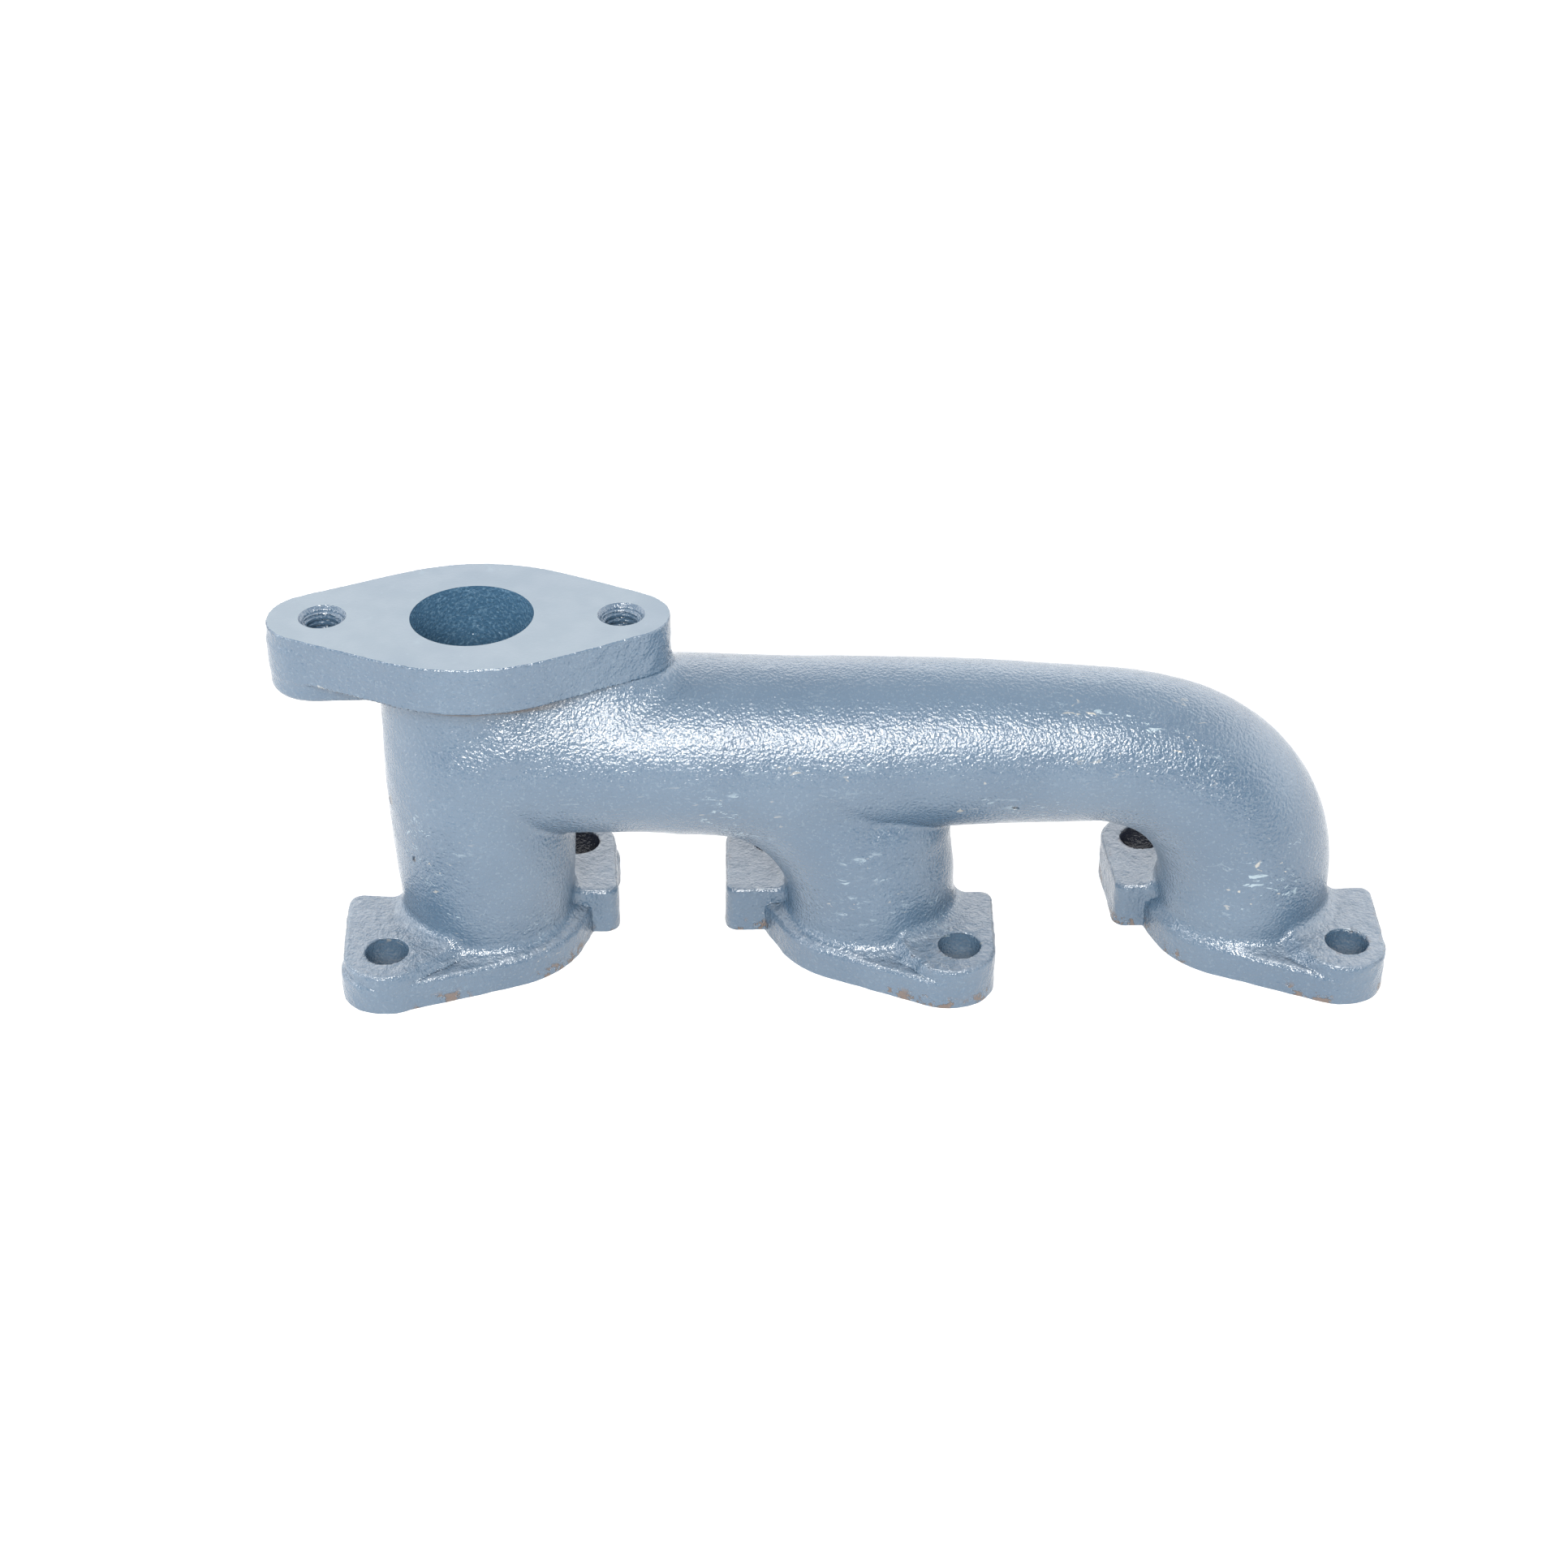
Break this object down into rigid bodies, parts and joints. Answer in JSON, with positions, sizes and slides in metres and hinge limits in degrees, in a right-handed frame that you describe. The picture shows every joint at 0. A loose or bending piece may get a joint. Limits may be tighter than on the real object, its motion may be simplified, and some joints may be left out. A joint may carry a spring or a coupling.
{
  "type": "exhaust manifold",
  "caption": "Cast-iron exhaust manifold: a log with ports underneath, each on a flange with two diagonal bolt lugs, and a diamond outlet flange with tapped holes on a riser at one end.",
  "frame": {"origin": "centre of the middle port, on the face that seals against the cylinder head", "axes": "+X along the log, away from the outlet; +Z from the head face to the outlet face; +Y across the log"},
  "size_m": [0.2405, 0.0602, 0.082],
  "materials": {
    "casting_paint": "glossy blue-grey paint over rough sand-cast iron, with pale scuffs",
    "lug_paint": "thin blue-grey paint over coarse sand-cast iron, chipped to bare iron at the lower edges",
    "machined_paint": "thin satin blue-grey paint over a milled face, cast sides below"
  },
  "bodies": {
    "root": {"outlet_flange": "machined_paint", "riser_upper": "casting_paint", "riser_lower": "casting_paint", "log_front": "casting_paint", "log_middle": "casting_paint", "log_rear": "casting_paint", "end_elbow": "casting_paint", "branch_2_bend": "casting_paint", "branch_2_foot": "casting_paint", "branch_3_foot": "casting_paint", "port_flange_1": "casting_paint", "port_flange_2": "casting_paint", "port_flange_3": "casting_paint", "lug_1_front": "lug_paint", "lug_1_back": "lug_paint", "lug_2_front": "lug_paint", "lug_2_back": "lug_paint", "lug_3_front": "lug_paint", "lug_3_back": "lug_paint"}
  },
  "joints": []
}
